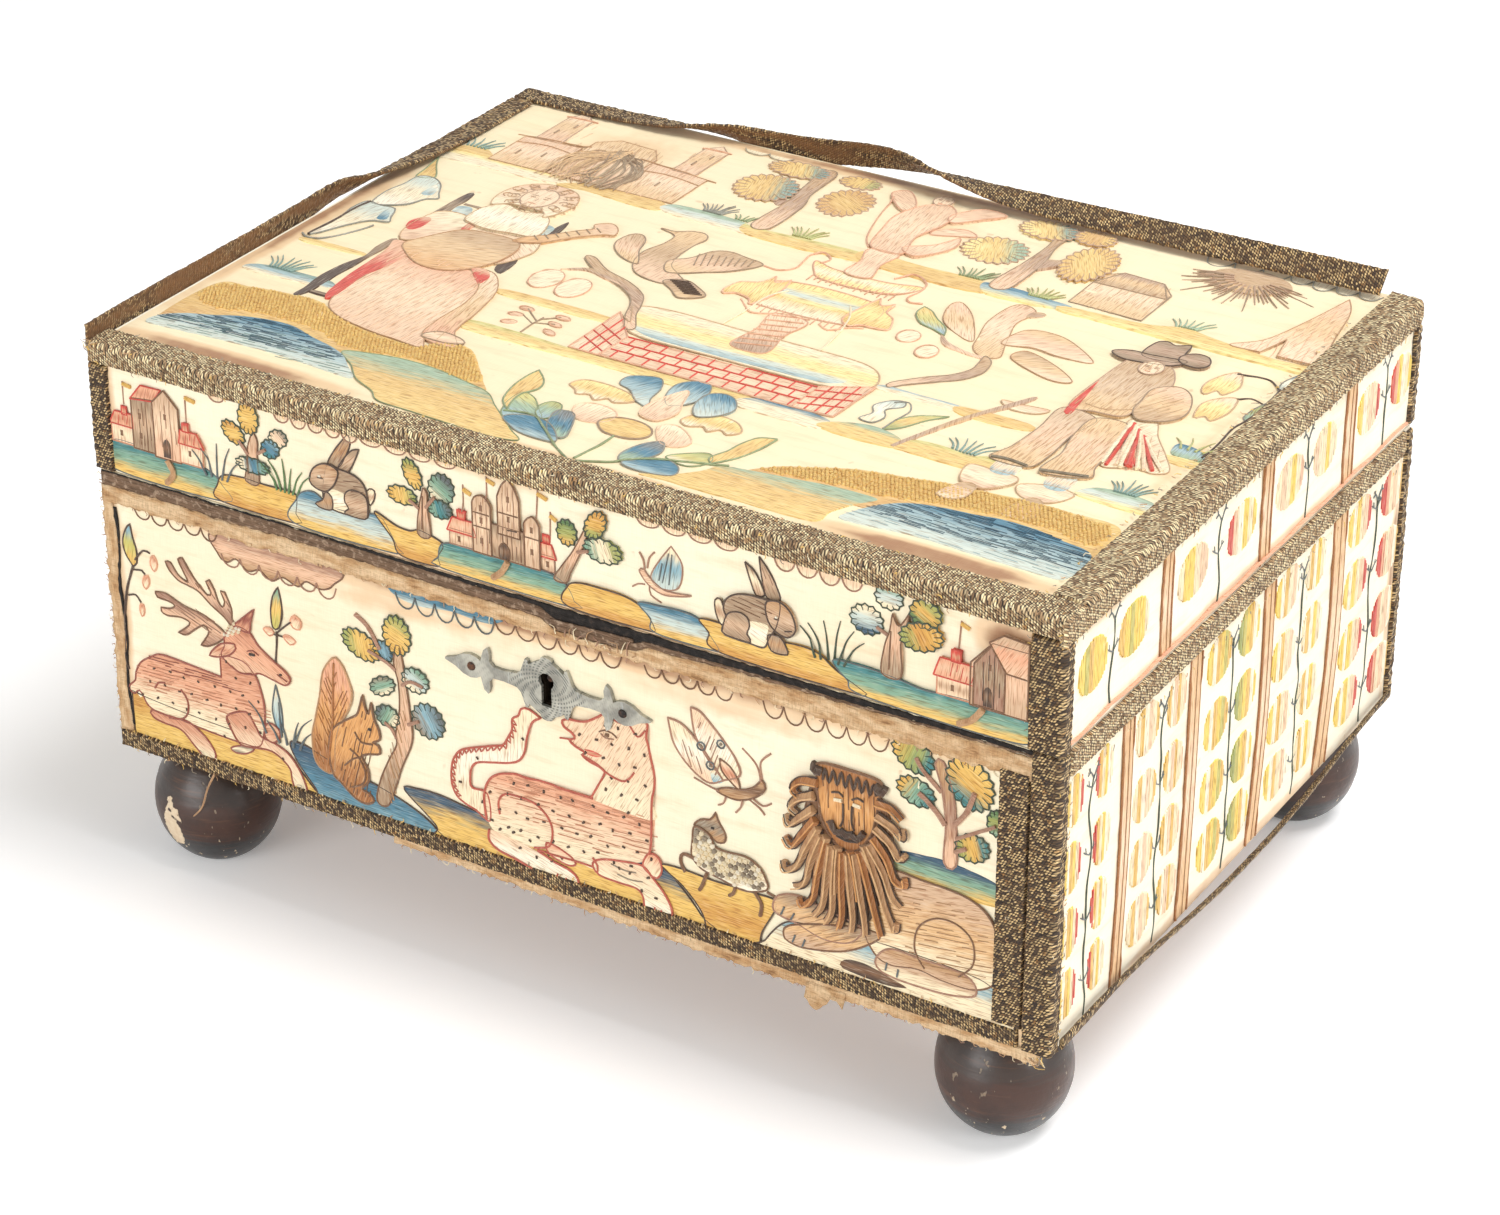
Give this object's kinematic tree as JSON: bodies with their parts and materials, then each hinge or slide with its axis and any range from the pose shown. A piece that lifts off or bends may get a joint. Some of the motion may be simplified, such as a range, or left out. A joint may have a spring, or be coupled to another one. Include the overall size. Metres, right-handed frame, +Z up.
{
  "type": "embroidered silk casket",
  "caption": "Rectangular wooden casket on ball feet with a hinged box lid, covered in raised silk embroidery with metal-thread braid edging, part of it loose.",
  "frame": {"origin": "on the floor under the middle of the casket, feet down", "axes": "+X from left to right along the front, -Y out of the front, +Z up"},
  "size_m": [0.3058, 0.2226, 0.1739],
  "materials": {
    "softwood_board": "bare planed softwood, dusty and brown with age",
    "ebonised_wood": "turned wood stained near black, soft gloss, worn and chipped",
    "embroidered_silk": "ivory silk satin with coloured silk embroidery, faded and stained at the edges",
    "lining_silk": "salmon silk over paper, faded",
    "metal_thread_braid": "woven silver-gilt thread braid, tarnished grey-brown with pale sparkle",
    "linen_strip": "glue-stained linen and paper, frayed",
    "pewter_grey_plate": "cut plate with a grey tarnish and fine filed detail",
    "dark_iron": "forged iron, dark and slightly rusted"
  },
  "bodies": {
    "case": {"case_back_board": "softwood_board", "case_base_board": "softwood_board", "case_braid_back_bottom": "metal_thread_braid", "case_braid_back_top": "metal_thread_braid", "case_braid_corner_back_left": "metal_thread_braid", "case_braid_corner_back_right": "metal_thread_braid", "case_braid_corner_front_right": "metal_thread_braid", "case_braid_front_bottom": "metal_thread_braid", "case_braid_front_right": "metal_thread_braid", "case_braid_left_bottom": "metal_thread_braid", "case_braid_left_top": "metal_thread_braid", "case_braid_loose_strand": "metal_thread_braid", "case_braid_right_top": "metal_thread_braid", "case_front_board": "softwood_board", "case_left_board": "softwood_board", "case_lining": "lining_silk", "case_right_board": "softwood_board", "case_rim_linen": "linen_strip", "case_silk_back": "embroidered_silk", "case_silk_front": "embroidered_silk", "case_silk_left": "embroidered_silk", "case_silk_right": "embroidered_silk", "escutcheon": "pewter_grey_plate", "escutcheon_pin_left": "dark_iron", "escutcheon_pin_right": "dark_iron", "foot_back_left": "ebonised_wood", "foot_back_right": "ebonised_wood", "foot_front_left": "ebonised_wood", "foot_front_right": "ebonised_wood", "hinge_leaf_case_left": "dark_iron", "hinge_leaf_case_right": "dark_iron", "hinge_pin_left": "dark_iron", "hinge_pin_right": "dark_iron", "lock_case": "dark_iron", "lock_key_post": "dark_iron", "lock_spring": "dark_iron"},
    "lid": {"hinge_leaf_lid_left": "dark_iron", "hinge_leaf_lid_right": "dark_iron", "lid_back_rail": "softwood_board", "lid_braid_back_loose": "metal_thread_braid", "lid_braid_corner_back_right": "metal_thread_braid", "lid_braid_corner_front_left": "metal_thread_braid", "lid_braid_corner_front_right": "metal_thread_braid", "lid_braid_front": "metal_thread_braid", "lid_braid_left_loose": "metal_thread_braid", "lid_braid_right": "metal_thread_braid", "lid_front_rail": "softwood_board", "lid_left_rail": "softwood_board", "lid_lining": "lining_silk", "lid_right_rail": "softwood_board", "lid_silk_back": "embroidered_silk", "lid_silk_front": "embroidered_silk", "lid_silk_left": "embroidered_silk", "lid_silk_right": "embroidered_silk", "lid_silk_top": "embroidered_silk", "lid_staple": "dark_iron", "lid_top_board": "softwood_board"},
    "bolt": {"lock_bolt": "dark_iron"}
  },
  "joints": [
    {"name": "lid_hinge", "type": "hinge", "parent": "case", "child": "lid", "pos_m": [0.00053, 0.10915, 0.1257], "axis": [-1, 0, 0], "range_deg": [0, 105]},
    {"name": "lock_bolt_slide", "type": "slide", "parent": "case", "child": "bolt", "axis": [1, 0, 0], "range_m": [0, 0.006]}
  ]
}
